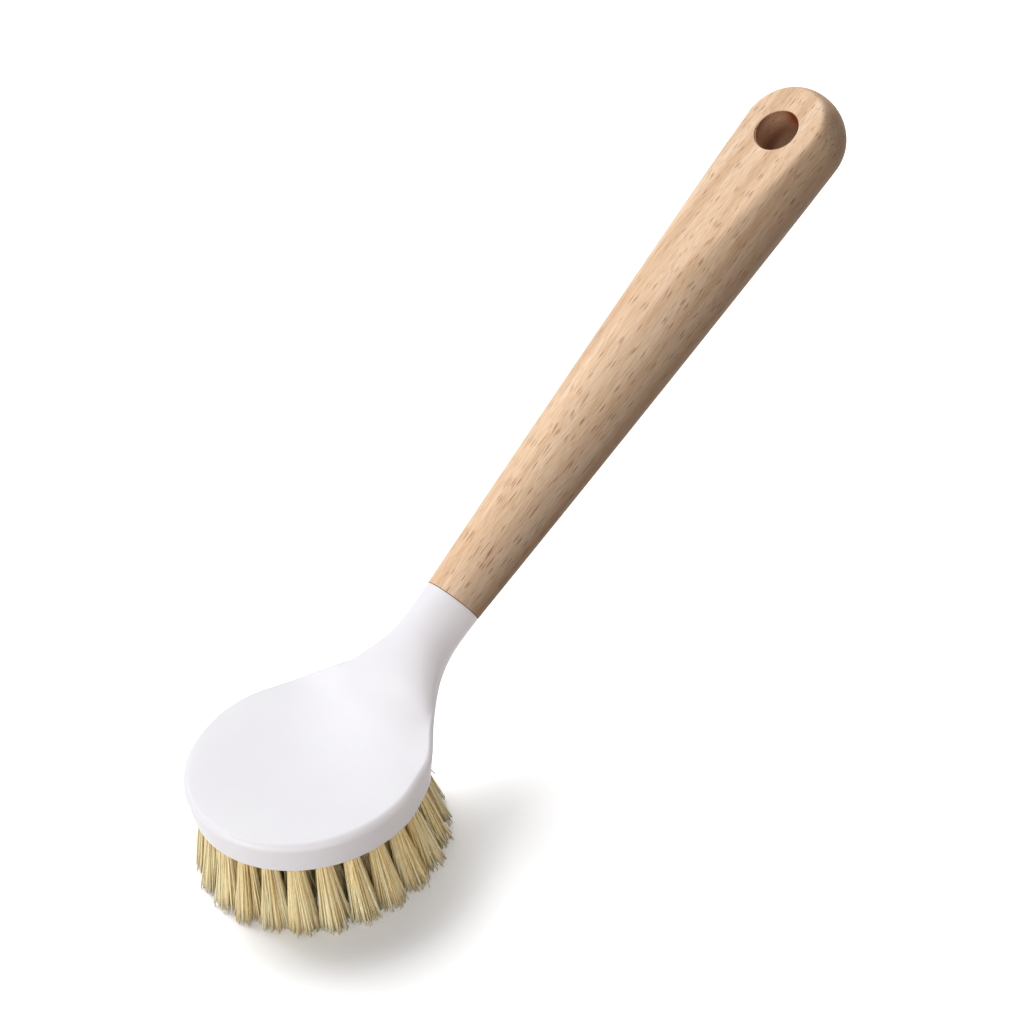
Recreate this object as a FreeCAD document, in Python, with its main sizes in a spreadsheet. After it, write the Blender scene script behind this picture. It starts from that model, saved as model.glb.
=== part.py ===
"""Dish brush: a turned beech handle glued into a moulded head with tufts of plant fibre.

Frame: +Z up, +X towards the end of the handle, mirror plane Y = 0. The origin is under the
middle of the round head, on the flat face that the trimmed bristle tips make.
"""
import FreeCAD, Part
import math
import os
import Sketcher
from FreeCAD import Placement, Rotation, Vector

# Driving dimensions, in millimetres and degrees
DIMENSIONS = {
    # Head: a round plate with a neck that sweeps up to the seam
    "plate_radius": 32.0,
    "plate_flare": 0.8,
    "plate_height": 9.4,
    "rim_round": 2.8,
    "dish_depth": 1.2,
    "seam_reach": 56.3,
    "seam_rise": 25.7,
    "seam_radius": 8.25,
    "handle_angle": 26.4,
    # Handle
    "handle_length": 171.0,
    "end_radius": 14.5,
    "belly": 0.35,
    "flat_half_thickness": 8.4,
    "flat_angle": 3.9,
    "hole_reach": 16.6,
    "hole_radius": 6.25,
    "hole_ease": 0.5,
    # Glued joint
    "tenon_radius": 4.5,
    "tenon_length": 14.0,
    "tenon_chamfer": 1.0,
    "seam_gap": 0.15,
    "socket_clearance": 0.1,
    "socket_end_gap": 0.5,
    # Tufts and their anchors
    "trim_length": 21.6,
    "fan_height": 207.0,
    "ring_spacing": 6.9,
    "tuft_hole_radius": 2.0,
    "tuft_hole_depth": 6.2,
    "tuft_clearance": 0.06,
    "tuft_tip_radius": 3.6,
    "anchor_thickness": 0.35,
    "anchor_height": 1.6,
    "fold_height": 1.0,
    # How far a cutting tool runs past what it cuts
    "overrun": 2.0,
}

# Tufts in each ring, from the ring next to the central tuft outwards, and the share of the space
# between two tufts by which the ring is turned
RING_COUNTS = (5, 10, 16, 24)
RING_TURN_SHARES = (0.0, 0.3, 0.5, 0.667)

# Tufts and their holes have this many sides, a multiple of four: each tuft is what square fans,
# turned about its axis, have in common
TUFT_SIDES = 8

# Formulas of the sheet: the radius that a tuft or an anchor has inside its hole, and the place of
# the hanging hole along the handle, which it reaches in from the handle's end
GRIP = "(dims.tuft_hole_radius - dims.tuft_clearance)"
HOLE_PLACE = "(dims.handle_length - dims.hole_reach)"

# Neck sections between the middle of the plate and the seam, as shares. In each row: reach and
# rise of the lowest point, reach and rise of the crest, half width, lower half width, crown of
# the top, and how far the section has gone from a plate to an oval.
NECK_SHARES = (
    (0.384, 0.000, 0.409, 0.116, 0.711, 0.908, 0.170, 0.15),
    (0.484, 0.084, 0.504, 0.251, 0.520, 0.688, 0.234, 0.18),
    (0.575, 0.225, 0.580, 0.399, 0.373, 0.556, 0.190, 0.44),
    (0.684, 0.431, 0.671, 0.557, 0.175, 0.599, 0.106, 0.75),
    (0.827, 0.717, 0.809, 0.766, 0.008, 0.875, 0.032, 0.95),
)

# Sections across the plate itself, behind its middle: reach, crown and oval share
PLATE_SHARES = ((0.25, -0.075, 0.0), (0.50, 0.090, 0.04))

# Points along half a section: across the top, round the rim, down the wall, along the bottom
SECTION_COUNTS = (4, 3, 2, 3)

# The rim's round takes at most this share of a section's height
RIM_LIMIT_SHARE = 0.45


def make_sheet(doc):
    """Put the driving dimensions in a spreadsheet, one alias each."""
    sheet = doc.addObject("Spreadsheet::Sheet", "dims")
    for row, (alias, value) in enumerate(DIMENSIONS.items(), start=1):
        sheet.set(f"A{row}", alias)
        sheet.set(f"B{row}", str(value))
        sheet.setAlias(f"B{row}", alias)
    doc.recompute()
    return sheet


doc = FreeCAD.newDocument("dish_brush")
sheet = make_sheet(doc)


def dim(alias):
    return float(sheet.get(alias))


def value_of(formula):
    """The present value of a formula of the sheet."""
    return float(sheet.evalExpression(formula))


def bind(thing, **formulas):
    """Bind properties of a document object to cells of the sheet."""
    for name, formula in formulas.items():
        thing.setExpression(name, formula)


def half_section(low, crest, width, lower_width, crown, oval_share=0, along=None):
    """Points of half a section, from the crest over the rim to the middle of the bottom.

    low and crest are (x, z) in the mirror plane. The outline goes from a plate, with a crowned
    or dished top, a rounded rim and a drafted wall, to an oval as oval_share goes to 1. The
    points are spread over the oval as the lengths along a plate's section are.
    """
    low = Vector(low[0], 0, low[1])
    crest = Vector(crest[0], 0, crest[1])
    height = low.distanceToPoint(crest)
    up = (crest - low).normalize()
    edge = height - crown
    rim = min(dim("rim_round"), RIM_LIMIT_SHARE * edge)
    top_count, rim_count, wall_count, bottom_count = SECTION_COUNTS
    outline = []
    for i in range(top_count):
        share = i / top_count
        outline.append((share * (width - rim), edge + crown * math.cos(math.pi / 2 * share) ** 2))
    for i in range(rim_count):
        turn = math.pi / 2 * i / rim_count
        outline.append((width - rim + rim * math.sin(turn), edge - rim + rim * math.cos(turn)))
    for i in range(wall_count):
        share = i / wall_count
        outline.append((width + share * (lower_width - width), (edge - rim) * (1 - share)))
    for i in range(bottom_count):
        outline.append((lower_width * (1 - i / (bottom_count - 1)), 0.0))
    if along is None:
        return [low + up * above + Vector(0, across, 0) for across, above in outline]
    middle = height / 2
    corner = along[-bottom_count]
    corner_turn = -math.atan2(width, lower_width)
    points = []
    for (across, above), length in zip(outline, along):
        if length <= corner:
            turn = math.pi / 2 + (corner_turn - math.pi / 2) * length / corner
        else:
            turn = corner_turn - (math.pi / 2 + corner_turn) * (length - corner) / (along[-1] - corner)
        oval_across = 0.0 if across == 0 else width * math.cos(turn)
        oval_above = middle + middle * math.sin(turn)
        y = across + oval_share * (oval_across - across)
        z = above + oval_share * (oval_above - above)
        points.append(low + up * z + Vector(0, y, 0))
    return points


def lengths_along(points):
    """The length from the first point to each of the points."""
    lengths = [0.0]
    for start, end in zip(points, points[1:]):
        lengths.append(lengths[-1] + start.distanceToPoint(end))
    return lengths


def spline(points, parameters, **tangents):
    """A smooth curve that passes each point at its parameter."""
    curve = Part.BSplineCurve()
    curve.interpolate(Points=list(points), Parameters=parameters, Scale=False, **tangents)
    return curve


def skin(rows, across, along, start, end):
    """A smooth surface through rows of points that leaves and ends in given directions."""
    columns = [spline(column, along, InitialTangent=start, FinalTangent=end) for column in zip(*rows)]
    lines = [spline(poles, across) for poles in zip(*(column.getPoles() for column in columns))]
    surface = Part.BSplineSurface()
    surface.buildFromPolesMultsKnots(
        [line.getPoles() for line in lines],
        columns[0].getMultiplicities(), lines[0].getMultiplicities(),
        columns[0].getKnots(), lines[0].getKnots(),
        False, False, columns[0].Degree, lines[0].Degree,
    )
    return surface


def whole_sections(sections):
    """The sections on both sides of the mirror plane: rows over the top and rows underneath."""
    corner = len(sections[0]) - SECTION_COUNTS[3]
    over, under = [], []
    for points in sections:
        far = [Vector(point.x, -point.y, point.z) for point in points]
        over.append(far[corner:0:-1] + points[:corner + 1])
        under.append(points[corner:] + far[-2:corner - 1:-1])
    return over, under


def head_sections():
    """Half sections of the head from the middle of its plate to the round seam."""
    radius = dim("plate_radius")
    rim_radius = radius + dim("plate_flare")
    height = dim("plate_height")
    angle = math.radians(dim("handle_angle"))
    seam_radius = dim("seam_radius")
    seam = (dim("seam_reach"), dim("seam_rise"))
    low_end = (seam[0] + seam_radius * math.sin(angle), seam[1] - seam_radius * math.cos(angle))
    crest_end = (seam[0] - seam_radius * math.sin(angle), seam[1] + seam_radius * math.cos(angle))
    dish = dim("dish_depth")
    sections = [half_section((0, 0), (0, height - dish), rim_radius, radius, -dish)]
    along = lengths_along(sections[0])
    for reach_share, crown_share, oval_share in PLATE_SHARES:
        reach = reach_share * radius
        crown = crown_share * height
        width = math.sqrt(rim_radius ** 2 - reach ** 2)
        lower_width = math.sqrt(radius ** 2 - reach ** 2)
        low, crest = (reach, 0), (reach, height + crown)
        sections.append(half_section(low, crest, width, lower_width, crown, oval_share, along))
    for row in NECK_SHARES:
        low_reach, low_rise, crest_reach, crest_rise, wide, lower_wide, crown_share, oval_share = row
        low = (low_reach * low_end[0], low_rise * low_end[1])
        crest = (crest_reach * crest_end[0], height + crest_rise * (crest_end[1] - height))
        width = seam_radius + wide * (rim_radius - seam_radius)
        lower_width, crown = lower_wide * width, crown_share * height
        sections.append(half_section(low, crest, width, lower_width, crown, oval_share, along))
    sections.append(half_section(low_end, crest_end, seam_radius, seam_radius, 0, 1, along))
    return sections


def head_blank():
    """The moulding without its holes: half a turned plate and a neck that grows from its middle."""
    sections = head_sections()
    over, under = whole_sections(sections)
    angle = math.radians(dim("handle_angle"))
    level = Vector(1, 0, 0)
    along_handle = Vector(math.cos(angle), 0, math.sin(angle))
    along = lengths_along([(points[0] + points[-1]) * 0.5 for points in sections])
    skins = [skin(rows, lengths_along(rows[0]), along, level, along_handle) for rows in (over, under)]
    caps = [Part.Face(Part.Wire([surface.uIso(end).toShape() for surface in skins]))
            for end in (along[0], along[-1])]
    neck = Part.makeSolid(Part.makeShell([surface.toShape() for surface in skins] + caps))
    across = lengths_along(over[0])
    crest, foot, corner = sections[0][0], sections[0][-1], over[0][-1]
    profile = [spline(over[0], across).toShape(across[len(across) // 2], across[-1])]
    profile += [Part.LineSegment(*ends).toShape() for ends in ((corner, foot), (foot, crest))]
    front = Part.Face(Part.Wire(profile)).revolve(Vector(), Vector(0, 0, 1), 180)
    return front.fuse(neck)


def seam_placement(slide):
    """A place on the handle's axis, slide past the seam, with local X along the handle."""
    angle = dim("handle_angle")
    along = Vector(math.cos(math.radians(angle)), 0, math.sin(math.radians(angle)))
    seam = Vector(dim("seam_reach"), 0, dim("trim_length") + dim("seam_rise"))
    return Placement(seam + along * slide, Rotation(Vector(0, 1, 0), -angle))


def new_sketch(body, name, role):
    """An empty sketch on one of the body's own origin planes."""
    sketch = body.newObject("Sketcher::SketchObject", name)
    plane = next(item for item in body.Origin.OriginFeatures if item.Role == role)
    sketch.AttachmentSupport = [(plane, "")]
    sketch.MapMode = "FlatFace"
    return sketch


def spot(formulas):
    """The point that a pair of formulas gives at the present sizes."""
    return Vector(*(value_of(formula) for formula in formulas))


def pin(sketch, geometry, end, name, formulas):
    """Hold one end of a line or arc at a pair of formulas of the sheet."""
    at = spot(formulas)
    for kind, value, formula in zip(("DistanceX", "DistanceY"), at, formulas):
        datum = sketch.addConstraint(Sketcher.Constraint(kind, -1, 1, geometry, end, value))
        sketch.renameConstraint(datum, name + kind)
        sketch.setExpression("Constraints." + name + kind, formula)


def draw_chain(sketch, corners, closed):
    """Lines from corner to corner, each corner pinned. Returns the index of the first line."""
    names = list(corners)
    first = sketch.GeometryCount
    count = len(names) if closed else len(names) - 1
    for i in range(count):
        start = spot(corners[names[i]])
        end = spot(corners[names[(i + 1) % len(names)]])
        line = sketch.addGeometry(Part.LineSegment(start, end))
        pin(sketch, line, 1, names[i], corners[names[i]])
        if i > 0:
            sketch.addConstraint(Sketcher.Constraint("Coincident", line - 1, 2, line, 1))
    last = first + count - 1
    if closed:
        sketch.addConstraint(Sketcher.Constraint("Coincident", last, 2, first, 1))
    else:
        pin(sketch, last, 2, names[-1], corners[names[-1]])
    return first


def turned_profile(sketch):
    """Half the outline of the turned handle, with its tenon, above the X axis."""
    corners = {
        "tip": ("dims.handle_length", "0"),
        "root": ("-dims.tenon_length", "0"),
        "face": ("-dims.tenon_length", "dims.tenon_radius - dims.tenon_chamfer"),
        "tenon": ("dims.tenon_chamfer - dims.tenon_length", "dims.tenon_radius"),
        "step": ("dims.seam_gap", "dims.tenon_radius"),
        "shoulder": ("dims.seam_gap", "dims.seam_radius"),
    }
    first = draw_chain(sketch, corners, closed=False)
    last = sketch.GeometryCount - 1
    shoulder = spot(corners["shoulder"])
    dome_centre = spot(("dims.handle_length - dims.end_radius", "0"))
    dome_top = dome_centre + Vector(0, dim("end_radius"), 0)
    middle = (shoulder + dome_top) * 0.5 + Vector(0, dim("belly"), 0)
    belly = sketch.addGeometry(Part.Arc(shoulder, middle, dome_top))
    circle = Part.Circle(dome_centre, Vector(0, 0, 1), dim("end_radius"))
    dome = sketch.addGeometry(Part.ArcOfCircle(circle, 0, math.pi / 2))
    # The belly is drawn from the shoulder backwards round its circle, so its end is the shoulder
    for constraint in (
        Sketcher.Constraint("Coincident", belly, 2, last, 2),
        Sketcher.Constraint("Coincident", dome, 1, first, 1),
        Sketcher.Constraint("PointOnObject", dome, 3, -1),
        Sketcher.Constraint("Tangent", belly, 1, dome, 2),
    ):
        sketch.addConstraint(constraint)
    for arc, name, formula in (
        (dome, "dome", "dims.end_radius"),
        (belly, "bellyRound", "dims.handle_length ^ 2 / (8 * dims.belly)"),
    ):
        datum = sketch.addConstraint(Sketcher.Constraint("Radius", arc, value_of(formula)))
        sketch.renameConstraint(datum, name)
        sketch.setExpression("Constraints." + name, formula)


def flat_wedges(sketch):
    """The two wedges that planing takes off, above and below the handle's axis."""
    clear = "(dims.end_radius + dims.overrun)"
    far = "(dims.handle_length + dims.overrun)"
    start = f"{HOLE_PLACE} - ({clear} - dims.flat_half_thickness) / tan(dims.flat_angle)"
    drop = f"dims.flat_half_thickness - ({far} - {HOLE_PLACE}) * tan(dims.flat_angle)"
    for side, sign in (("upper", "1"), ("lower", "-1")):
        corners = {
            side + "Start": (start, f"{sign} * {clear}"),
            side + "End": (far, f"{sign} * ({drop})"),
            side + "Outer": (far, f"{sign} * {clear}"),
        }
        draw_chain(sketch, corners, closed=True)


def through_pocket(body, name, sketch):
    """A cut through the whole body, to both sides of the sketch."""
    before = body.Shape.Volume
    pocket = body.newObject("PartDesign::Pocket", name)
    pocket.Profile = sketch
    pocket.Type = "ThroughAll"
    pocket.Midplane = True
    doc.recompute()
    assert body.Shape.Volume < before, name + " cuts nothing"
    return pocket


def make_handle():
    """One turned beech piece: tenon, bellied cone, round end, two flats and a hanging hole."""
    body = doc.addObject("PartDesign::Body", "handle")
    profile = new_sketch(body, "turned_profile", "XZ_Plane")
    turned_profile(profile)
    turning = body.newObject("PartDesign::Revolution", "turning")
    turning.Profile = profile
    turning.ReferenceAxis = (profile, ["H_Axis"])
    turning.Angle = 360
    doc.recompute()
    wedges = new_sketch(body, "flat_wedges", "XZ_Plane")
    flat_wedges(wedges)
    through_pocket(body, "flats", wedges)
    ring = new_sketch(body, "hole_circle", "XY_Plane")
    centre = Vector(value_of(HOLE_PLACE), 0, 0)
    circle = ring.addGeometry(Part.Circle(centre, Vector(0, 0, 1), dim("hole_radius")))
    pin(ring, circle, 3, "hole", (HOLE_PLACE, "0"))
    datum = ring.addConstraint(Sketcher.Constraint("Radius", circle, dim("hole_radius")))
    ring.renameConstraint(datum, "hole")
    ring.setExpression("Constraints.hole", "dims.hole_radius")
    hole = through_pocket(body, "hanging_hole", ring)
    wall = next(face for face in hole.Shape.Faces if isinstance(face.Surface, Part.Cylinder)
                and math.isclose(face.Surface.Radius, dim("hole_radius")))
    rims = [edge for edge in wall.Edges if edge.isClosed()]
    edges = [f"Edge{i}" for i, edge in enumerate(hole.Shape.Edges, start=1)
             if any(edge.isSame(rim) for rim in rims)]
    ease = body.newObject("PartDesign::Chamfer", "hole_ease")
    ease.Base = (hole, edges)
    bind(ease, Size="dims.hole_ease")
    body.Placement = seam_placement(0)
    doc.recompute()
    return body


def tuft_seats():
    """Name, ring, hole mouth, direction towards the tips and anchor direction of every tuft."""
    trim = dim("trim_length")
    apex = Vector(0, 0, dim("fan_height"))
    seats = [("tuft_centre", 0, Vector(0, 0, trim), Vector(0, 0, -1), Vector(0, 1, 0))]
    for ring, (count, turn_share) in enumerate(zip(RING_COUNTS, RING_TURN_SHARES), start=1):
        for i in range(count):
            turn = 2 * math.pi * (i + turn_share) / count
            outward = Vector(math.cos(turn), math.sin(turn), 0)
            mouth = outward * (ring * dim("ring_spacing")) + Vector(0, 0, trim)
            tangent = Vector(0, 0, 1).cross(outward)
            direction = (mouth - apex).normalize()
            seats.append((f"tuft_ring{ring}_{i + 1:02d}", ring, mouth, direction, tangent))
    return seats


def seat_placement(origin, direction, tangent):
    """A place with local Z along direction and local Y along tangent."""
    return Placement(origin, Rotation(tangent.cross(direction), tangent, direction, "ZXY"))


def make_drill(name, mouth, direction, tangent):
    """The tool that sinks one blind tuft hole, from inside the plate out through its underside."""
    tool = doc.addObject("Part::Prism", name + "_drill")
    tool.Polygon = TUFT_SIDES
    bind(tool, Circumradius="dims.tuft_hole_radius", Height="dims.tuft_hole_depth + dims.overrun")
    tool.Placement = seat_placement(mouth - direction * dim("tuft_hole_depth"), direction, tangent)
    return tool


def make_bar(name, clearance, mouth, direction, tangent):
    """A flat wire anchor across a tuft hole, or the slot round it, wider by a clearance."""
    half_span = f"({GRIP} - dims.anchor_thickness / 2 * tan(180 deg / {TUFT_SIDES}) + {clearance})"
    half_thickness = f"(dims.anchor_thickness / 2 + {clearance})"
    depth = f"dims.tuft_hole_depth - dims.fold_height + {clearance}"
    bar = doc.addObject("Part::Box", name)
    height = f"dims.anchor_height + 2 * {clearance}"
    bind(bar, Length=f"2 * {half_thickness}", Width=f"2 * {half_span}", Height=height)
    corner = Vector(-value_of(half_thickness), -value_of(half_span), 0)
    seat = seat_placement(mouth - direction * value_of(depth), direction, tangent)
    bar.Placement = seat * Placement(corner, Rotation())
    return bar


def make_tuft(name, ring, mouth, direction, tangent, trimmer):
    """One tuft: a bundle that fans out from its hole, slotted for its anchor and trimmed flat."""
    lean = f"atan({ring} * dims.ring_spacing / (dims.fan_height - dims.trim_length))"
    reach = f"(dims.trim_length / cos({lean}))"
    root = "(dims.tuft_hole_depth - dims.tuft_clearance)"
    fan = f"((dims.tuft_tip_radius - {GRIP}) / {reach})"
    at_root = f"(({GRIP} - {fan} * {root}) * cos(180 deg / {TUFT_SIDES}))"
    at_tips = f"((dims.tuft_tip_radius + {fan} * dims.overrun) * cos(180 deg / {TUFT_SIDES}))"
    seat = seat_placement(mouth - direction * value_of(root), direction, tangent)
    upright = Rotation(Vector(1, 0, 0), 90)
    fans = []
    for i in range(TUFT_SIDES // 4):
        square = doc.addObject("Part::Wedge", f"{name}_fan{i + 1}")
        for side in ("X", "Z"):
            bind(square, **{side + "min": "-" + at_root, side + "max": at_root})
            bind(square, **{side + "2min": "-" + at_tips, side + "2max": at_tips})
        bind(square, Ymin="0", Ymax=f"{root} + {reach} + dims.overrun")
        turn = Rotation(Vector(0, 0, 1), (i + 0.5) * 360 / TUFT_SIDES)
        square.Placement = seat * Placement(Vector(), turn * upright)
        fans.append(square)
    bundle = doc.addObject("Part::MultiCommon", name + "_fan")
    bundle.Shapes = fans
    slot = make_bar(name + "_slot", "dims.tuft_clearance", mouth, direction, tangent)
    waste = doc.addObject("Part::Compound", name + "_waste")
    waste.Links = [slot, trimmer]
    tuft = doc.addObject("Part::Cut", name)
    tuft.Base = bundle
    tuft.Tool = waste
    return tuft


def make_trimmer():
    """The block under the plane of the tips, which trims every tuft flat."""
    fan = "dims.fan_height / (dims.fan_height - dims.trim_length)"
    spread = f"{len(RING_COUNTS)} * dims.ring_spacing * {fan}"
    half_width = f"({spread} + dims.tuft_tip_radius + dims.overrun)"
    block = doc.addObject("Part::Box", "trimmer")
    bind(block, Length=f"2 * {half_width}", Width=f"2 * {half_width}", Height="dims.trim_length")
    block.Placement.Base = Vector(-value_of(half_width), -value_of(half_width), -dim("trim_length"))
    return block


def make_head(drills):
    """The moulded head: its blank, bored for the tenon and for every tuft."""
    blank = doc.addObject("Part::Feature", "head_blank")
    blank.Shape = head_blank()
    blank.Placement = Placement(Vector(0, 0, dim("trim_length")), Rotation())
    depth = "dims.tenon_length + dims.socket_end_gap"
    socket = doc.addObject("Part::Cylinder", "tenon_socket")
    bind(socket, Radius="dims.tenon_radius + dims.socket_clearance", Height=depth + " + dims.overrun")
    along_handle = Placement(Vector(), Rotation(Vector(0, 1, 0), 90))
    socket.Placement = seam_placement(-value_of(depth)) * along_handle
    bores = doc.addObject("Part::Compound", "head_bores")
    bores.Links = [socket] + drills
    head = doc.addObject("Part::Cut", "brush_head")
    head.Base = blank
    head.Tool = bores
    return head


def make_brush():
    """Every sub-part of the brush, as a list of document objects."""
    trimmer = make_trimmer()
    drills, anchors, tufts = [], [], []
    for name, ring, mouth, direction, tangent in tuft_seats():
        drills.append(make_drill(name, mouth, direction, tangent))
        anchors.append(make_bar(name + "_anchor", "0", mouth, direction, tangent))
        tufts.append(make_tuft(name, ring, mouth, direction, tangent, trimmer))
    staples = doc.addObject("Part::Compound", "anchor_staples")
    staples.Links = anchors
    return [make_handle(), make_head(drills), staples] + tufts


def check_and_export(pieces):
    """Stop on any failed feature or bad shape, then write one file for each sub-part."""
    doc.recompute()
    for thing in doc.Objects:
        assert not {"Invalid", "Error"} & set(thing.State), f"{thing.Name} failed"
    for piece in pieces:
        assert not piece.Shape.isNull() and piece.Shape.isValid(), f"{piece.Label} has a bad shape"
    os.makedirs("parts", exist_ok=True)
    for piece in pieces:
        piece.Shape.exportStep(f"parts/{piece.Label}.step")
    solids = sum(len(piece.Shape.Solids) for piece in pieces)
    print(f"{len(pieces)} sub-parts, {solids} solids")


check_and_export(make_brush())
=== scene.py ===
"""Dish brush: a turned beech handle in a white moulded head with tufts of cream plant fibre.

Lengths are written in millimetres and put into the mesh in metres. +X runs towards the end of the
handle, +Z is up, and the bristle tips stand on Z = 0.
"""
import bmesh
import bpy
import math
import random
import numpy as np
from mathutils import Matrix, Vector


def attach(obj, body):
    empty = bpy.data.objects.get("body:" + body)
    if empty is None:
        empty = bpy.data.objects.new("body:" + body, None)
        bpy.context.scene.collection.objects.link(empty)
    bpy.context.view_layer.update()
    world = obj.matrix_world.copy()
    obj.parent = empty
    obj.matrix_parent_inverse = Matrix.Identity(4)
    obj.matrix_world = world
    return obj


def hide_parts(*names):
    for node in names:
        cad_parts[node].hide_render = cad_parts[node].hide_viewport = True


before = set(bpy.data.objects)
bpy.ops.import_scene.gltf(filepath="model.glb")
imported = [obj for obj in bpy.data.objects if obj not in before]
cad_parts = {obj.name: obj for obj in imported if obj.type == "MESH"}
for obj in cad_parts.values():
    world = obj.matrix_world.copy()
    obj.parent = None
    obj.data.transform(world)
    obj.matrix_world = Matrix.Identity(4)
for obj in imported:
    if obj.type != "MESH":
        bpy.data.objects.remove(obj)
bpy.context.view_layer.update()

MM = 0.001

# Head
PLATE_RADIUS = 32.0
PLATE_FLARE = 0.8
PLATE_HEIGHT = 9.4
RIM_ROUND = 1.9
RIM_LIMIT_SHARE = 0.45
FOOT_ROUND = 0.45
DISH_DEPTH = 1.2
SEAM_REACH = 56.3
SEAM_RISE = 25.7
SEAM_RADIUS = 8.25
HANDLE_ANGLE = math.radians(26.4)
SEAM_ROUND = 0.22
PLATE_STEPS = 72
NECK_STEPS = 78

# Handle
HANDLE_LENGTH = 171.0
END_RADIUS = 14.5
BELLY = 0.35
FLAT_HALF_THICKNESS = 8.4
FLAT_SLOPE = math.tan(math.radians(3.9))
CREASE_SOFTNESS = 1.3
HOLE_REACH = 154.4
HOLE_RADIUS = 6.25
HOLE_EASE = 0.35
CUTTER_OVERRUN = 6.0
TENON_RADIUS = 4.5
TENON_LENGTH = 14.0
TENON_CHAMFER = 1.0
SEAM_GAP = 0.15
SOCKET_RADIUS = 4.6
SOCKET_DEPTH = 14.5
BELLY_STEPS = 150
DOME_STEPS = 36

# Tufts
TRIM_LENGTH = 21.6
FAN_HEIGHT = 207.0
RING_SPACING = 6.9
RING_COUNTS = (5, 10, 16, 24)
RING_TURNS = (0.0, 0.3, 0.5, 0.667)
TUFT_ROOT_RADIUS = 1.8
TUFT_TIP_RADIUS = 3.9
ROOT_DEPTH = 0.6

# Fibres of a tuft, some of which stray: radii, wander of the tips, bow, and how far the cut tips
# end above the trimmed face
FIBRES_IN_TUFT = 200
FIBRE_RADII = (0.17, 0.25)
STRAY_SHARE = 0.09
TIP_WANDER = 0.42
STRAY_WANDER_TIMES = 2.6
FIBRE_BOW = 0.38
STRAY_BOW = 0.9
TIP_UNEVENNESS = 0.5
STRAY_SHORTFALL = (0.5, 3.0)
MOST_SHORTFALL = 4.0
LOWEST_POINT = 0.02

# Neck sections: reach and rise of the lowest point, reach and rise of the crest, half width, lower
# half width, crown of the top, and how far the section has gone from a plate to an oval
NECK_ROWS = (
    (0.384, 0.000, 0.409, 0.116, 0.711, 0.908, 0.170, 0.15),
    (0.484, 0.084, 0.504, 0.251, 0.520, 0.688, 0.234, 0.18),
    (0.575, 0.225, 0.580, 0.399, 0.373, 0.556, 0.190, 0.44),
    (0.684, 0.431, 0.671, 0.557, 0.175, 0.599, 0.106, 0.75),
    (0.827, 0.717, 0.809, 0.766, 0.008, 0.875, 0.032, 0.95),
)

# Sections across the plate behind its middle: reach, crown and oval share
PLATE_ROWS = ((0.25, -0.075, 0.0), (0.50, 0.090, 0.04))

# Points along half a section: across the top, round the rim, down the wall, round the foot, underneath
SECTION_POINTS = (22, 10, 7, 4, 14)

# Camera: angles in degrees, then how far the eye is to the right, up and back from the middle of
# the plate's underside, and the focal length in widths of the picture
CAMERA_AZIMUTH = -36.8
CAMERA_ELEVATION = 39.5
CAMERA_ROLL = -9.9
EYE_OFFSETS = (53.08, 72.12, 1056.9)
SENSOR_WIDTH = 36.0
FOCAL_SHARE = 4000 / 1024

SEAM = Vector((SEAM_REACH, 0, TRIM_LENGTH + SEAM_RISE))
ALONG_HANDLE = Vector((math.cos(HANDLE_ANGLE), 0, math.sin(HANDLE_ANGLE)))
HANDLE_PLACE = Matrix.Translation(SEAM) @ Matrix.Rotation(-HANDLE_ANGLE, 4, "Y")
WHITE = (1.0, 1.0, 1.0, 1.0)


# Mesh helpers

def finish_piece(name, bm, material, sharp_angle=None):
    """Turn a bmesh in millimetres into an object in metres with one material."""
    bmesh.ops.transform(bm, matrix=Matrix.Scale(MM, 4), verts=bm.verts)
    for face in bm.faces:
        face.smooth = True
    mesh = bpy.data.meshes.new(name)
    bm.to_mesh(mesh)
    bm.free()
    if sharp_angle is not None:
        mesh.set_sharp_from_angle(angle=math.radians(sharp_angle))
    mesh.materials.append(material)
    piece = bpy.data.objects.new(name, mesh)
    bpy.context.scene.collection.objects.link(piece)
    return piece


def dress(piece, slot, *nodes):
    """The piece stands for CAD nodes and moves with the brush. The slot is not used."""
    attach(piece, "root")
    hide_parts(*nodes)


def chain(bm, points):
    """A line of vertices joined by edges, ready to be spun."""
    verts = [bm.verts.new(point) for point in points]
    edges = [bm.edges.new(pair) for pair in zip(verts, verts[1:])]
    return verts + edges


def close_up(bm):
    """Merge doubled vertices and point every face outwards."""
    bmesh.ops.remove_doubles(bm, verts=bm.verts, dist=0.0005)
    bmesh.ops.recalc_face_normals(bm, faces=bm.faces)


def arc(centre, radius, start, end, count):
    """Points of an arc in a plane, both ends included, with angles in degrees."""
    turns = [math.radians(start + (end - start) * i / count) for i in range(count + 1)]
    return [(centre[0] + radius * math.cos(t), centre[1] + radius * math.sin(t)) for t in turns]


# Head

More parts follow.
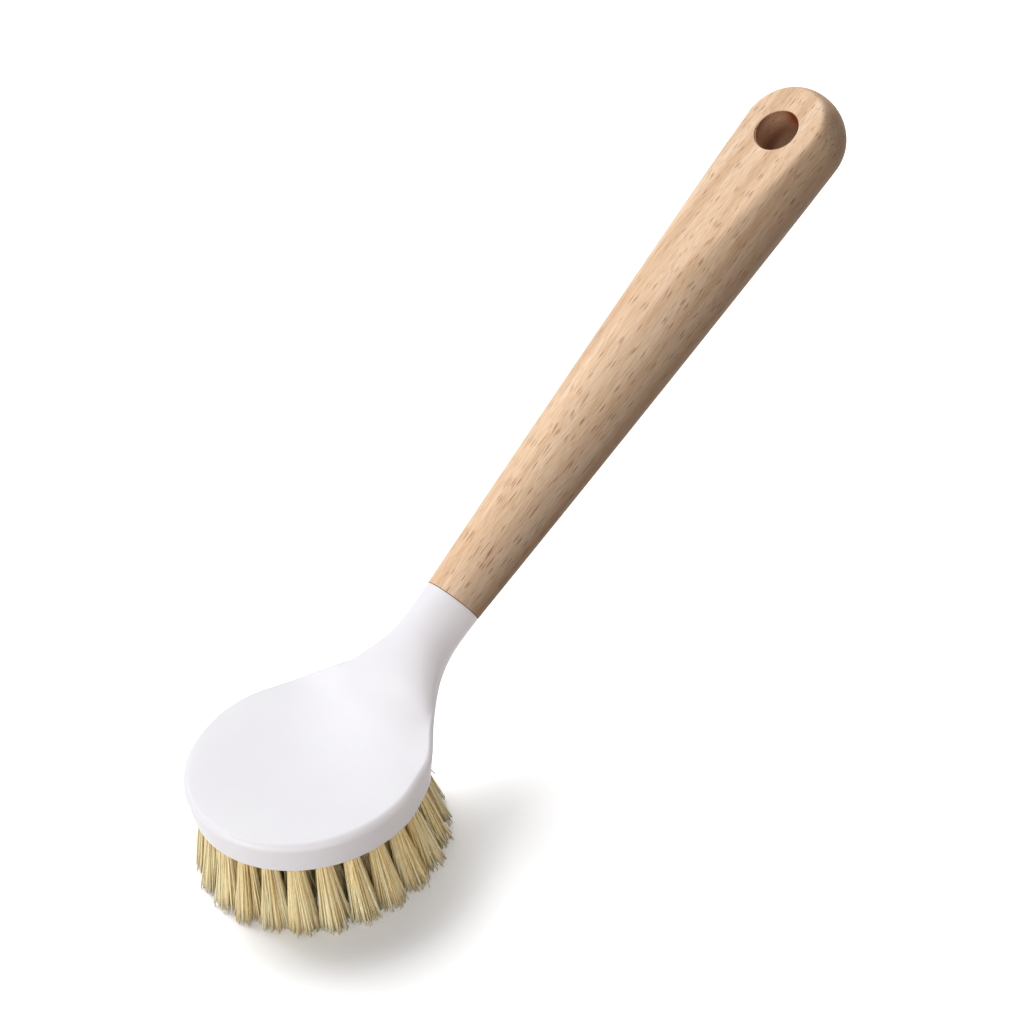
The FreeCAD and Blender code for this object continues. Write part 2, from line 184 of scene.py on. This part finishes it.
def half_section(low, crest, width, lower_width, crown, oval=0.0, along=None):
    """Points of half a section of the head, from the crest over the rim to the middle underneath.

    As oval goes to 1, the outline of a plate turns into an oval, over which the points are spread
    like the lengths along a plate's section.
    """
    low, crest = np.array((low[0], 0.0, low[1])), np.array((crest[0], 0.0, crest[1]))
    height = np.linalg.norm(crest - low)
    up = (crest - low) / height
    edge = height - crown
    rim = min(RIM_ROUND, RIM_LIMIT_SHARE * edge)
    tops, rims, walls, feet, unders = SECTION_POINTS
    outline = []
    for share in np.arange(tops) / tops:
        outline.append((share * (width - rim), edge + crown * math.cos(math.pi / 2 * share) ** 2))
    outline += arc((width - rim, edge - rim), rim, 90, 0, rims)[:-1]
    for share in np.arange(walls) / walls:
        drop = share * (FOOT_ROUND - edge + rim)
        outline.append((width + share * (lower_width - width), edge - rim + drop))
    outline += arc((lower_width - FOOT_ROUND, FOOT_ROUND), FOOT_ROUND, 0, -90, feet)[:-1]
    for share in np.linspace(1, 0, unders):
        outline.append((share * (lower_width - FOOT_ROUND), 0.0))
    outline = np.array(outline)
    if along is not None:
        corner = along[tops + rims + walls + feet // 2]
        corner_turn = -math.atan2(width, lower_width)
        turns = np.where(
            along <= corner, math.pi / 2 + (corner_turn - math.pi / 2) * along / corner,
            corner_turn - (math.pi / 2 + corner_turn) * (along - corner) / (along[-1] - corner),
        )
        rounded = np.stack((width * np.cos(turns), height / 2 * (1 + np.sin(turns))), axis=1)
        rounded[[0, -1], 0] = 0.0
        outline += oval * (rounded - outline)
    return low + outline[:, 1:] * up + outline[:, :1] * np.array((0.0, 1.0, 0.0))


def head_sections():
    """Half sections from the middle of the plate to the round seam."""
    rim_radius = PLATE_RADIUS + PLATE_FLARE
    sway, lift = SEAM_RADIUS * math.sin(HANDLE_ANGLE), SEAM_RADIUS * math.cos(HANDLE_ANGLE)
    low_end = (SEAM_REACH + sway, SEAM_RISE - lift)
    crest_end = (SEAM_REACH - sway, SEAM_RISE + lift)
    sections = [half_section((0, 0), (0, PLATE_HEIGHT - DISH_DEPTH), rim_radius, PLATE_RADIUS, -DISH_DEPTH)]
    along = np.concatenate(([0.0], np.cumsum(np.linalg.norm(np.diff(sections[0], axis=0), axis=1))))
    for reach, crown, oval in PLATE_ROWS:
        x, rise = reach * PLATE_RADIUS, crown * PLATE_HEIGHT
        wide, narrow = math.sqrt(rim_radius ** 2 - x ** 2), math.sqrt(PLATE_RADIUS ** 2 - x ** 2)
        sections.append(half_section((x, 0), (x, PLATE_HEIGHT + rise), wide, narrow, rise, oval, along))
    for low_x, low_z, crest_x, crest_z, wide, narrow, crown, oval in NECK_ROWS:
        low = (low_x * low_end[0], low_z * low_end[1])
        crest = (crest_x * crest_end[0], PLATE_HEIGHT + crest_z * (crest_end[1] - PLATE_HEIGHT))
        width = SEAM_RADIUS + wide * (rim_radius - SEAM_RADIUS)
        sections.append(half_section(low, crest, width, narrow * width, crown * PLATE_HEIGHT, oval, along))
    sections.append(half_section(low_end, crest_end, SEAM_RADIUS, SEAM_RADIUS, 0, 1, along))
    return np.array(sections)


def smooth_rows(rows, start, end, count):
    """Many rows on the smooth curves through a few rows, with a given direction at each end."""
    middles = (rows[:, 0] + rows[:, -1]) / 2
    steps = np.linalg.norm(np.diff(middles, axis=0), axis=1)
    at = np.concatenate(([0.0], np.cumsum(steps)))
    last = len(rows) - 1
    system, wanted = np.eye(last + 1), np.zeros_like(rows)
    slopes = np.diff(rows, axis=0) / steps[:, None, None]
    wanted[0], wanted[last] = start, end
    for i in range(1, last):
        system[i, i - 1:i + 2] = steps[i], 2 * (steps[i - 1] + steps[i]), steps[i - 1]
        wanted[i] = 3 * (steps[i] * slopes[i - 1] + steps[i - 1] * slopes[i])
    tangents = np.linalg.solve(system, wanted.reshape(last + 1, -1)).reshape(rows.shape)
    dense = []
    for place in np.linspace(0, at[-1], count + 1):
        i = min(int(np.searchsorted(at, place, side="right")) - 1, last - 1)
        s, h = (place - at[i]) / steps[i], steps[i]
        dense.append(
            (1 + 2 * s) * (1 - s) ** 2 * rows[i] + s * (1 - s) ** 2 * h * tangents[i]
            + s * s * (3 - 2 * s) * rows[i + 1] + s * s * (s - 1) * h * tangents[i + 1]
        )
    return dense


def pull_ring(bm, edges, places):
    """Extrude a ring of edges and set each new vertex by the order of its old one in the ring."""
    out = bmesh.ops.extrude_edge_only(bm, edges=edges)["geom"]
    fresh = {item for item in out if isinstance(item, bmesh.types.BMVert)}
    old = {vert for edge in edges for vert in edge.verts}
    order = bm.verts.layers.int["order"]
    for vert in old:
        pulled = next(e.other_vert(vert) for e in vert.link_edges if e.other_vert(vert) in fresh)
        pulled[order] = vert[order]
        pulled.co = places[vert[order]]
    return [item for item in out if isinstance(item, bmesh.types.BMEdge)
            and item.verts[0] in fresh and item.verts[1] in fresh]


def make_head(material):
    """The moulded head: half a spun plate, a drawn-out neck and a socket for the tenon."""
    sections = head_sections()
    sections[:, :, 2] += TRIM_LENGTH
    bm = bmesh.new()
    order = bm.verts.layers.int.new("order")
    spin = chain(bm, [Vector(point) for point in sections[0]])
    bmesh.ops.spin(
        bm, geom=spin, cent=(0, 0, 0), axis=(0, 0, 1), dvec=(0, 0, 0), angle=math.pi, steps=PLATE_STEPS,
    )
    rows = smooth_rows(sections, np.array((1.0, 0, 0)), np.array(ALONG_HANDLE), NECK_STEPS)
    rings = []
    for row in rows:
        far = row[-2:0:-1] * np.array((1.0, -1.0, 1.0))
        rings.append([Vector(point) for point in np.concatenate((row, far))])
    ring = bmesh.ops.create_circle(bm, cap_ends=False, radius=PLATE_RADIUS, segments=len(rings[0]))["verts"]
    for i, vert in enumerate(ring):
        vert[order] = i
        vert.co = rings[0][i]
    edges = list({edge for vert in ring for edge in vert.link_edges})
    for places in rings[1:-1]:
        edges = pull_ring(bm, edges, places)
    seam = [place - SEAM for place in rings[-1]]
    for turn in (0, 30, 60, 90):
        inward = SEAM_ROUND * (1 - math.cos(math.radians(turn))) / SEAM_RADIUS
        back = SEAM_ROUND * (1 - math.sin(math.radians(turn)))
        edges = pull_ring(bm, edges, [SEAM + spoke * (1 - inward) - ALONG_HANDLE * back for spoke in seam])
    wall = [spoke.normalized() * SOCKET_RADIUS for spoke in seam]
    edges = pull_ring(bm, edges, [SEAM + spoke for spoke in wall])
    edges = pull_ring(bm, edges, [SEAM + spoke - ALONG_HANDLE * SOCKET_DEPTH for spoke in wall])
    bmesh.ops.contextual_create(bm, geom=edges)
    close_up(bm)
    return finish_piece("moulded_head", bm, material, sharp_angle=50)


# Handle

def handle_outline():
    """Half the turned outline in the handle's own frame: reach along the axis and radius."""
    outline = [(-TENON_LENGTH, 0.0), (-TENON_LENGTH, TENON_RADIUS - TENON_CHAMFER)]
    outline += [(TENON_CHAMFER - TENON_LENGTH, TENON_RADIUS), (SEAM_GAP, TENON_RADIUS)]
    outline += [(SEAM_GAP, SEAM_RADIUS - SEAM_ROUND)]
    outline += arc((SEAM_GAP + SEAM_ROUND, SEAM_RADIUS - SEAM_ROUND), SEAM_ROUND, 180, 90, 3)[1:-1]
    # The belly is an arc that meets the dome without a corner
    dome = HANDLE_LENGTH - END_RADIUS
    bow = HANDLE_LENGTH ** 2 / (8 * BELLY)
    run, rise = dome - SEAM_GAP, END_RADIUS - SEAM_RADIUS
    tilt = math.atan2(rise, run) - math.asin(math.hypot(run, rise) / 2 / bow)
    centre = (dome - END_RADIUS * math.sin(tilt), END_RADIUS * math.cos(tilt))
    centre = (centre[0] + bow * math.sin(tilt), centre[1] - bow * math.cos(tilt))
    start = math.atan2(SEAM_RADIUS - centre[1], SEAM_GAP - centre[0])
    end = math.pi / 2 + tilt
    for i in range(BELLY_STEPS):
        turn = start + (end - start) * i / BELLY_STEPS
        outline.append((centre[0] + bow * math.cos(turn), centre[1] + bow * math.sin(turn)))
    outline += arc((dome, 0), END_RADIUS, math.degrees(end), 0, DOME_STEPS)
    outline[-1] = (HANDLE_LENGTH, 0.0)
    return outline


def soft_least(a, b, softness):
    """The smaller of two heights, with the corner between them sanded soft."""
    nearness = max(softness - abs(a - b), 0.0)
    return min(a, b) - nearness * nearness / (4 * softness)


def flat_height(reach):
    """Height of the upper flat above the handle's axis."""
    return FLAT_HALF_THICKNESS - (reach - HOLE_REACH) * FLAT_SLOPE


def hole_cutter():
    """The tool that bores the hanging hole and eases its two rims along the sloping flats."""
    top = FLAT_HALF_THICKNESS + CUTTER_OVERRUN
    eased = HOLE_RADIUS + HOLE_EASE
    rim = arc((eased, FLAT_HALF_THICKNESS - HOLE_EASE), HOLE_EASE, 180, 90, 4)
    half = [(HOLE_RADIUS, 0.0)] + rim + [(eased, top), (0.0, top)]
    outline = [(r, -z) for r, z in reversed(half[1:])] + half
    bm = bmesh.new()
    spin = chain(bm, [(HOLE_REACH + r, 0, z) for r, z in outline])
    bmesh.ops.spin(
        bm, geom=spin, cent=(HOLE_REACH, 0, 0), axis=(0, 0, 1), dvec=(0, 0, 0),
        angle=2 * math.pi, steps=72, use_merge=True,
    )
    close_up(bm)
    for vert in bm.verts:
        slope = (vert.co.x - HOLE_REACH) * FLAT_SLOPE
        vert.co.z -= math.copysign(slope, vert.co.z) if abs(vert.co.z) > 1 else 0
    bmesh.ops.transform(bm, matrix=HANDLE_PLACE, verts=bm.verts)
    return bm


def make_handle(material):
    """The beech handle: a turned form planed to two soft-edged flats and bored for hanging."""
    bm = bmesh.new()
    spin = chain(bm, [(x, 0, r) for x, r in handle_outline()])
    bmesh.ops.spin(
        bm, geom=spin, cent=(0, 0, 0), axis=(1, 0, 0), dvec=(0, 0, 0),
        angle=2 * math.pi, steps=144, use_merge=True,
    )
    close_up(bm)
    for vert in bm.verts:
        if vert.co.x > SEAM_GAP:
            planed = soft_least(abs(vert.co.z), flat_height(vert.co.x), CREASE_SOFTNESS)
            vert.co.z = math.copysign(max(planed, 0.0), vert.co.z)
    bmesh.ops.transform(bm, matrix=HANDLE_PLACE, verts=bm.verts)
    handle = finish_piece("beech_handle", bm, material)
    cutter = finish_piece("hole_cutter", hole_cutter(), material)
    bore = handle.modifiers.new("hanging_hole", "BOOLEAN")
    bore.operation = "DIFFERENCE"
    bore.object = cutter
    bore.solver = "EXACT"
    bored = bpy.data.meshes.new_from_object(handle.evaluated_get(bpy.context.evaluated_depsgraph_get()))
    handle.modifiers.clear()
    handle.data = bored
    bored.set_sharp_from_angle(angle=math.radians(20))
    bpy.data.objects.remove(cutter)
    return handle


# Tufts

def tuft_seats():
    """Name, middle of the hole and direction towards the tips of every tuft."""
    apex = Vector((0, 0, FAN_HEIGHT))
    seats = [("tuft_centre", Vector((0, 0, TRIM_LENGTH)), Vector((0, 0, -1)))]
    for ring, (count, turn) in enumerate(zip(RING_COUNTS, RING_TURNS), start=1):
        for i in range(count):
            angle = 2 * math.pi * (i + turn) / count
            mouth = Vector((math.cos(angle), math.sin(angle), 0)) * ring * RING_SPACING
            mouth.z = TRIM_LENGTH
            seats.append((f"tuft_ring{ring}_{i + 1:02d}", mouth, (mouth - apex).normalized()))
    return seats


def straight_fibre():
    """A unit fibre along Z, five-sided, tapered and cut square at its tip."""
    bm = bmesh.new()
    bmesh.ops.create_cone(bm, cap_ends=True, segments=5, radius1=1.0, radius2=0.78, depth=1.0)
    bmesh.ops.translate(bm, vec=(0, 0, 0.5), verts=bm.verts)
    rise = [edge for edge in bm.edges if abs(edge.verts[0].co.z - edge.verts[1].co.z) > 0.5]
    bmesh.ops.subdivide_edges(bm, edges=rise, cuts=4)
    mesh = bpy.data.meshes.new("straight_fibre")
    bm.to_mesh(mesh)
    bm.free()
    return mesh


def make_tuft(name, mouth, axis, fibre, material):
    """A bundle of loose fibres that fans out from its hole to unevenly cut tips."""
    dice = random.Random(name)
    side = axis.orthogonal().normalized()
    other = axis.cross(side)
    bm = bmesh.new()
    tone = bm.verts.layers.float.new("fibre_tone")
    depth = bm.verts.layers.float.new("fibre_depth")
    count = len(fibre.vertices)
    for _ in range(FIBRES_IN_TUFT):
        share = math.sqrt(dice.random())
        turn = dice.uniform(0, 2 * math.pi)
        spoke = side * math.cos(turn) + other * math.sin(turn)
        root = mouth + spoke * share * TUFT_ROOT_RADIUS - axis * ROOT_DEPTH
        stray = dice.random() < STRAY_SHARE
        loose = side * dice.gauss(0, TIP_WANDER) + other * dice.gauss(0, TIP_WANDER)
        loose *= STRAY_WANDER_TIMES if stray else 1.0
        aim = mouth + axis * TRIM_LENGTH + spoke * share * TUFT_TIP_RADIUS + loose
        shortfall = abs(dice.gauss(0, TIP_UNEVENNESS))
        shortfall += dice.uniform(*STRAY_SHORTFALL) if stray else 0.0
        run = aim - root
        run *= (root.z - min(shortfall, MOST_SHORTFALL)) / -run.z
        bow = side * dice.gauss(0, 1) + other * dice.gauss(0, 1)
        bow *= STRAY_BOW if stray else FIBRE_BOW
        radius = dice.uniform(*FIBRE_RADII)
        shade = dice.random()
        bm.from_mesh(fibre)
        bm.verts.ensure_lookup_table()
        for vert in bm.verts[-count:]:
            along = vert.co.z
            path = root + run * along + bow * (along * along - along * 0.4)
            vert.co = path + (side * vert.co.x + other * vert.co.y) * radius
            vert.co.z = max(vert.co.z, LOWEST_POINT)
            vert[tone] = shade
            vert[depth] = along
    bmesh.ops.recalc_face_normals(bm, faces=bm.faces)
    return finish_piece(name.replace("tuft", "fibre_bundle"), bm, material)


# Shader helpers

def new_material(name):
    """A new material, its node tree and its shader."""
    material = bpy.data.materials.new(name)
    material.use_nodes = True
    tree = material.node_tree
    return material, tree, tree.nodes["Principled BSDF"]


def feed(tree, entry, value):
    """Link a socket into an input, or set the input to a plain value."""
    if isinstance(value, bpy.types.NodeSocket):
        tree.links.new(value, entry)
    else:
        entry.default_value = value


def node(tree, kind, inputs, **settings):
    """Add a shader node, set its properties and feed its inputs."""
    item = tree.nodes.new(kind)
    for key, value in settings.items():
        setattr(item, key, value)
    for key, value in inputs.items():
        feed(tree, item.inputs[key], value)
    return item


def colour(red, green, blue):
    """A colour given in screen values from 0 to 255, as the linear colour that a shader takes."""
    parts = [value / 255 for value in (red, green, blue)]
    return tuple(p / 12.92 if p <= 0.04045 else ((p + 0.055) / 1.055) ** 2.4 for p in parts) + (1.0,)


def ramp(tree, socket, *stops):
    """A colour ramp from (place, colour) stops."""
    item = node(tree, "ShaderNodeValToRGB", {"Fac": socket})
    elements = item.color_ramp.elements
    while len(elements) < len(stops):
        elements.new(1.0)
    for element, (place, tint) in zip(elements, stops):
        element.position = place
        element.color = tint
    return item.outputs["Color"]


def blend_colours(tree, mode, factor, first, second):
    """Mix two colours. The factor, and either colour, may be a socket or a plain value."""
    inputs = {0: factor, 6: first, 7: second}
    return node(tree, "ShaderNodeMix", inputs, data_type="RGBA", blend_type=mode).outputs[2]


def combine(tree, operation, first, second):
    """The sum, product or the like of two numbers."""
    return node(tree, "ShaderNodeMath", {0: first, 1: second}, operation=operation).outputs[0]


def combine_vectors(tree, operation, first, second):
    """The sum, product or the like of two vectors."""
    return node(tree, "ShaderNodeVectorMath", {0: first, 1: second}, operation=operation).outputs[0]


def spread(tree, value, start, end, **settings):
    """Map a value from one range to another."""
    inputs = {"Value": value, "From Min": start[0], "From Max": start[1], "To Min": end[0], "To Max": end[1]}
    return node(tree, "ShaderNodeMapRange", inputs, **settings).outputs["Result"]


def object_place(tree):
    """The place on the object, in metres."""
    return node(tree, "ShaderNodeTexCoord", {}).outputs["Object"]


def stretched(tree, vector, scale):
    """The place at which a pattern is read, with its own scale along each axis."""
    return node(tree, "ShaderNodeMapping", {"Vector": vector, "Scale": scale}).outputs["Vector"]


def noise(tree, vector, scale=1.0, detail=2.0, roughness=0.5):
    """The outputs of a soft cloudy pattern."""
    inputs = {"Vector": vector, "Scale": scale, "Detail": detail, "Roughness": roughness}
    return node(tree, "ShaderNodeTexNoise", inputs).outputs


def coat(tree, shader, tint, pattern, roughness, specular):
    """Give a shader its colour, its shine and a roughness that follows a pattern."""
    feed(tree, shader.inputs["Base Color"], tint)
    feed(tree, shader.inputs["Roughness"], spread(tree, pattern, (0.0, 1.0), roughness))
    shader.inputs["Specular IOR Level"].default_value = specular


def emboss(tree, shader, relief, strength, depth):
    """Raise a pattern slightly out of the surface."""
    inputs = {"Height": relief, "Strength": strength, "Distance": depth * MM}
    feed(tree, shader.inputs["Normal"], node(tree, "ShaderNodeBump", inputs).outputs["Normal"])


# Finishes

def fleck_layer(tree, grain, cell, size, keep):
    """Dark dashes in some cells of a stretched lattice, the fewer the higher keep is."""
    inputs = {"Vector": stretched(tree, grain, cell), "Scale": 1.0, "Randomness": 1.0}
    spots = node(tree, "ShaderNodeTexVoronoi", inputs).outputs
    near = spread(tree, spots["Distance"], (size, size * 0.45), (0.0, 1.0), interpolation_type="SMOOTHSTEP")
    chance = node(tree, "ShaderNodeSeparateColor", {"Color": spots["Color"]}).outputs["Red"]
    kept = spread(tree, chance, (keep, 0.85), (0.0, 0.95))
    return combine(tree, "MULTIPLY", near, kept)


def beech():
    """Sanded beech: soft streaks, faint year rings and short dark ray flecks along the grain."""
    material, tree, shader = new_material("sanded_beech")
    inputs = {"Vector": object_place(tree), "Location": SEAM * MM, "Rotation": (0, -HANDLE_ANGLE, 0)}
    straight = node(tree, "ShaderNodeMapping", inputs, vector_type="TEXTURE").outputs["Vector"]
    wander = noise(tree, stretched(tree, straight, (14, 60, 60)), detail=1.0)["Color"]
    sway = combine_vectors(tree, "SUBTRACT", wander, (0.5, 0.5, 0.5))
    sway = combine_vectors(tree, "MULTIPLY", sway, (0, 0.0022, 0.0022))
    grain = combine_vectors(tree, "ADD", straight, sway)

    streak = noise(tree, stretched(tree, grain, (9, 300, 300)), detail=3.0, roughness=0.55)["Fac"]
    wood = ramp(
        tree, streak,
        (0.30, colour(224, 190, 156)), (0.50, colour(236, 204, 171)), (0.72, colour(243, 216, 188)),
    )
    inputs = {
        "Vector": stretched(tree, grain, (30, 1000, 1000)),
        "Scale": 0.07, "Distortion": 5.0, "Detail": 2.0, "Detail Scale": 0.35,
    }
    rings = node(tree, "ShaderNodeTexWave", inputs, wave_type="BANDS", bands_direction="DIAGONAL")
    ring_tint = ramp(tree, rings.outputs["Fac"], (0.0, colour(236, 226, 218)), (0.55, WHITE))
    wood = blend_colours(tree, "MULTIPLY", 0.55, wood, ring_tint)
    hair = noise(tree, stretched(tree, grain, (160, 3400, 3400)))["Fac"]
    hair_tint = ramp(tree, hair, (0.3, colour(226, 214, 202)), (0.6, WHITE))
    wood = blend_colours(tree, "MULTIPLY", 0.7, wood, hair_tint)

    reach = node(tree, "ShaderNodeSeparateXYZ", {"Vector": grain}).outputs["X"]
    near_seam = spread(tree, reach, (0.02, 0.08), (1.0, 0.3))
    short_flecks = fleck_layer(tree, grain, (170, 2500, 2500), 0.35, 0.5)
    long_flecks = fleck_layer(tree, grain, (62, 2000, 2000), 0.36, 0.6)
    long_flecks = combine(tree, "MULTIPLY", long_flecks, near_seam)
    flecks = combine(tree, "MAXIMUM", short_flecks, long_flecks)
    wood = blend_colours(tree, "MIX", flecks, wood, colour(136, 92, 58))

    # The bored wall is darker: partly its own end grain, partly painted shade inside the hanging hole.
    spoke = combine_vectors(tree, "ADD", grain, (-HOLE_REACH * MM, 0, 0))
    spoke = combine_vectors(tree, "MULTIPLY", spoke, (1, 1, 0))
    radius = node(tree, "ShaderNodeVectorMath", {0: spoke}, operation="LENGTH").outputs["Value"]
    bored = spread(tree, radius, ((HOLE_RADIUS + 0.3) * MM, (HOLE_RADIUS + 0.02) * MM), (0.0, 1.0))
    wood = blend_colours(tree, "MULTIPLY", bored, wood, colour(148, 90, 48))

    relief = combine(tree, "ADD", hair, combine(tree, "MULTIPLY", flecks, -0.8))
    emboss(tree, shader, relief, 0.16, 0.12)
    coat(tree, shader, wood, streak, (0.50, 0.66), 0.1)
    return material


def white_plastic():
    """Satin white moulding with a barely uneven skin."""
    material, tree, shader = new_material("satin_white_plastic")
    place = object_place(tree)
    cloud = noise(tree, place, 38.0, 3.0)["Fac"]
    tint = ramp(tree, cloud, (0.3, colour(236, 234, 238)), (0.7, colour(240, 239, 242)))
    emboss(tree, shader, noise(tree, place, 900.0)["Fac"], 0.04, 0.1)
    coat(tree, shader, tint, cloud, (0.30, 0.42), 0.45)
    return material


def plant_fibre():
    """Cream plant fibre: each strand has its own tone, paler towards the cut tip."""
    material, tree, shader = new_material("cream_plant_fibre")
    tone = node(tree, "ShaderNodeAttribute", {}, attribute_name="fibre_tone").outputs["Fac"]
    depth = node(tree, "ShaderNodeAttribute", {}, attribute_name="fibre_depth").outputs["Fac"]
    strand = ramp(
        tree, tone,
        (0.0, colour(246, 218, 156)), (0.3, colour(255, 241, 192)), (1.0, colour(255, 252, 222)),
    )
    # Strands are darker and warmer towards the root and paler towards the cut tip.
    root_to_tip_tint = ramp(tree, depth, (0.0, colour(246, 236, 216)), (0.6, WHITE))
    strand = blend_colours(tree, "MULTIPLY", 1.0, strand, root_to_tip_tint)
    knots = noise(tree, object_place(tree), 700.0)["Fac"]
    knot_tint = ramp(tree, knots, (0.35, colour(238, 228, 208)), (0.6, WHITE))
    strand = blend_colours(tree, "MULTIPLY", 0.4, strand, knot_tint)
    coat(tree, shader, strand, tone, (0.42, 0.6), 0.4)
    return material


def anchor_wire():
    """Flat drawn wire with fine lines."""
    material, tree, shader = new_material("flat_anchor_wire")
    lines = noise(tree, stretched(tree, object_place(tree), (900, 900, 9000)))["Fac"]
    tint = ramp(tree, lines, (0.3, colour(186, 186, 188)), (0.7, colour(214, 214, 216)))
    coat(tree, shader, tint, lines, (0.25, 0.42), 0.5)
    shader.inputs["Metallic"].default_value = 1.0
    return material


# Stage

def photo_camera():
    """The camera, from the photograph's viewing angle."""
    azimuth, elevation, roll = (math.radians(v) for v in (CAMERA_AZIMUTH, CAMERA_ELEVATION, CAMERA_ROLL))
    ground = math.cos(elevation)
    back = Vector((math.sin(azimuth) * ground, -math.cos(azimuth) * ground, math.sin(elevation)))
    level = Vector((math.cos(azimuth), math.sin(azimuth), 0))
    upright = back.cross(level)
    right = level * math.cos(roll) + upright * math.sin(roll)
    up = -level * math.sin(roll) + upright * math.cos(roll)
    eye = right * EYE_OFFSETS[0] + up * EYE_OFFSETS[1] + back * EYE_OFFSETS[2] + Vector((0, 0, TRIM_LENGTH))
    data = bpy.data.cameras.new("camera")
    data.sensor_width = SENSOR_WIDTH
    data.lens = SENSOR_WIDTH * FOCAL_SHARE
    data.clip_end = 20.0
    camera = bpy.data.objects.new("camera", data)
    turn = Matrix((right, up, back)).transposed().to_4x4()
    camera.matrix_world = Matrix.Translation(eye * MM) @ turn
    bpy.context.scene.collection.objects.link(camera)
    bpy.context.scene.camera = camera


def seen_rays(tree):
    """1 for rays that show a surface as it is: straight, mirrored or through a clear body."""
    rays = node(tree, "ShaderNodeLightPath", {}).outputs
    mirrored = combine(tree, "MAXIMUM", rays["Is Camera Ray"], rays["Is Glossy Ray"])
    return combine(tree, "MAXIMUM", mirrored, rays["Is Transmission Ray"])


def white_floor():
    """A wide pale floor that stays white to the camera and keeps the soft shadow."""
    material, tree, shader = new_material("white_floor")
    seen = seen_rays(tree)
    feed(tree, shader.inputs["Base Color"], blend_colours(tree, "MIX", seen, (0.26, 0.23, 0.22, 1.0), WHITE))
    shader.inputs["Roughness"].default_value = 0.9
    shader.inputs["Specular IOR Level"].default_value = 0.0
    shader.inputs["Emission Color"].default_value = WHITE
    feed(tree, shader.inputs["Emission Strength"], combine(tree, "MULTIPLY", seen, 0.30))
    bm = bmesh.new()
    bmesh.ops.create_grid(bm, x_segments=1, y_segments=1, size=3000)
    floor = finish_piece("floor", bm, material)
    return floor


def white_world():
    """Even soft light from all round, and plain white where the camera sees past the floor."""
    world = bpy.data.worlds.new("studio")
    world.use_nodes = True
    tree = world.node_tree
    soft = tree.nodes["Background"]
    soft.inputs["Strength"].default_value = 0.14
    soft.inputs["Color"].default_value = (1.0, 0.94, 0.92, 1)
    white = node(tree, "ShaderNodeBackground", {"Strength": 1.0, "Color": WHITE})
    mixed = node(tree, "ShaderNodeMixShader", {0: seen_rays(tree), 1: soft.outputs[0], 2: white.outputs[0]})
    output = next(item for item in tree.nodes if item.type == "OUTPUT_WORLD")
    tree.links.new(mixed.outputs[0], output.inputs["Surface"])
    bpy.context.scene.world = world


def collect(name, pieces):
    """A collection of pieces that a lamp can be limited to."""
    group = bpy.data.collections.new(name)
    for piece in pieces:
        group.objects.link(piece)
    return group


def softbox(name, middle, offset, size, power, tint, lights, casters):
    """A square lamp that shines towards the middle, from an offset.

    Two collections limit what it lights and what casts its shadows. Without them it takes all.
    """
    data = bpy.data.lights.new(name, "AREA")
    data.shape = "SQUARE"
    data.size = size
    data.energy = power
    data.color = tint
    lamp = bpy.data.objects.new(name, data)
    lamp.location = middle + offset
    lamp.rotation_euler = (-offset).to_track_quat("-Z", "Y").to_euler()
    lamp.light_linking.receiver_collection = lights
    lamp.light_linking.blocker_collection = casters
    bpy.context.scene.collection.objects.link(lamp)


def light_brush(head, bundles, handle, floor):
    """Lamps round the brush, turned from the camera's side to the left and raised, in degrees."""
    middle = Vector((40, 0, 30)) * MM
    azimuth = math.radians(CAMERA_AZIMUTH)
    left = Vector((-math.cos(azimuth), -math.sin(azimuth), 0))
    front = Vector((-left.y, left.x, 0))
    above = Vector((0, 0, 1))
    on_floor = collect("floor_only", [floor])
    on_head = collect("head_only", [head, *bundles])
    on_handle = collect("handle_only", [handle])
    cool, warm, plain = (0.965, 0.98, 1.0), (1.0, 0.94, 0.89), (1.0, 1.0, 1.0)
    for name, turn, height, distance, size, power, tint, lights, casters in (
        ("back", 162, 48, 4.8, 4.4, 178.0, cool, None, None),
        ("head_side", 60, 18, 2.4, 1.8, 38.0, cool, on_head, None),
        ("head_fill", 5, 14, 2.4, 1.8, 21.0, warm, on_head, None),
        ("head_card", -78, 8, 2.4, 1.8, 17.0, (1.0, 0.94, 0.90), on_head, None),
        ("floor_key", 154, 50, 2.4, 1.2, 34.0, plain, on_floor, on_head),
        ("handle_side", 52, 34, 2.4, 2.2, 53.0, cool, on_handle, None),
    ):
        turn, height = math.radians(turn), math.radians(height)
        level = front * math.cos(turn) + left * math.sin(turn)
        offset = (level * math.cos(height) + above * math.sin(height)) * distance
        softbox(name, middle, offset, size, power, tint, lights, casters)


# The brush

head = make_head(white_plastic())
dress(head, "white_plastic", "brush_head")
handle = make_handle(beech())
dress(handle, "beech", "handle")
cream = plant_fibre()
fibre = straight_fibre()
bundles = []
for name, mouth, axis in tuft_seats():
    bundle = make_tuft(name, mouth, axis, fibre, cream)
    dress(bundle, "fibre", name)
    bundles.append(bundle)
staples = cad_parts["anchor_staples"]
staples.data.materials.clear()
staples.data.materials.append(anchor_wire())

photo_camera()
light_brush(head, bundles, handle, white_floor())
white_world()
bpy.context.scene.view_settings.view_transform = "Standard"
